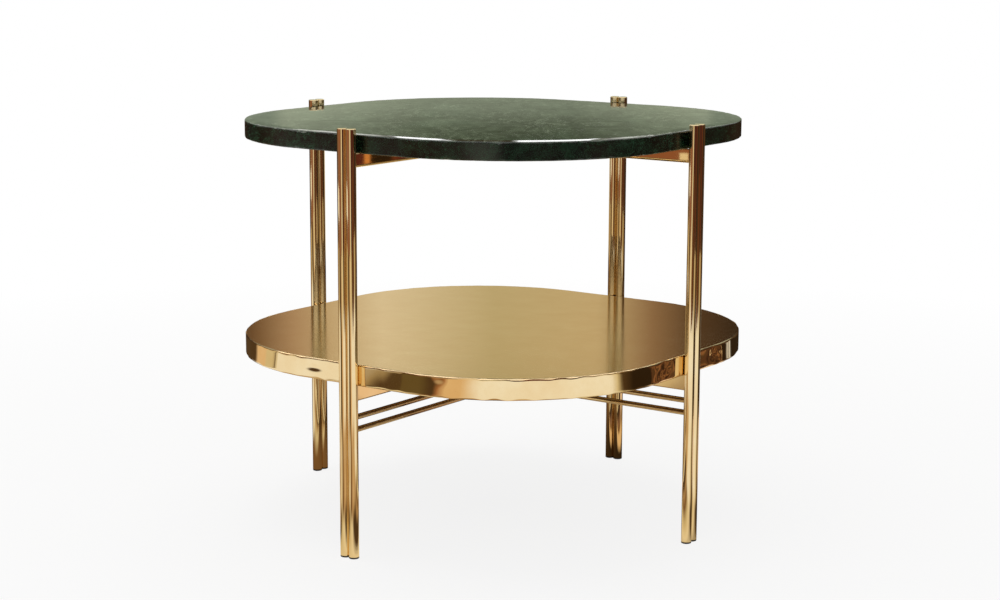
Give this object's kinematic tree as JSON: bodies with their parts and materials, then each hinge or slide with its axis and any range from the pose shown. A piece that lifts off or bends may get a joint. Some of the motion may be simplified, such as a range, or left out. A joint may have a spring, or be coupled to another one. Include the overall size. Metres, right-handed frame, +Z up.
{
  "type": "tiered side table",
  "caption": "Low side table with a rounded-square green marble top and a brass-clad shelf held between legs of paired brass rods, crossed by bars and thin stretchers.",
  "frame": {"origin": "on the floor, under the middle of the table", "axes": "+Z up; +X and +Y square to the plates' straight sides, through the legs; the front leg is on -Y"},
  "size_m": [0.5282, 0.5282, 0.45],
  "materials": {
    "green_marble": "polished",
    "brass_rod": "polished, lacquered",
    "brass_bar": "polished, lacquered",
    "brass_sheet": "satin polished",
    "brass_band": "polished, lacquered",
    "fibre_board": "raw",
    "dark_plastic": "satin",
    "clear_silicone": "clear",
    "screw_steel": "zinc plated"
  },
  "bodies": {
    "root": {"marble_top": "green_marble", "top_bumpers": "clear_silicone", "shelf_screws": "screw_steel", "shelf_core": "fibre_board", "shelf_base_sheet": "brass_sheet", "shelf_top_sheet": "brass_sheet", "shelf_rim_band": "brass_band", "top_bar_left_right": "brass_bar", "shelf_bar_left_right": "brass_bar", "stretcher_left_right_upper": "brass_rod", "stretcher_left_right_lower": "brass_rod", "top_bar_front_back": "brass_bar", "shelf_bar_front_back": "brass_bar", "stretcher_front_back_upper": "brass_rod", "stretcher_front_back_lower": "brass_rod", "leg_right_rod_1": "brass_rod", "glide_right_1": "dark_plastic", "leg_right_rod_2": "brass_rod", "glide_right_2": "dark_plastic", "leg_back_rod_1": "brass_rod", "glide_back_1": "dark_plastic", "leg_back_rod_2": "brass_rod", "glide_back_2": "dark_plastic", "leg_left_rod_1": "brass_rod", "glide_left_1": "dark_plastic", "leg_left_rod_2": "brass_rod", "glide_left_2": "dark_plastic", "leg_front_rod_1": "brass_rod", "glide_front_1": "dark_plastic", "leg_front_rod_2": "brass_rod", "glide_front_2": "dark_plastic"}
  },
  "joints": []
}
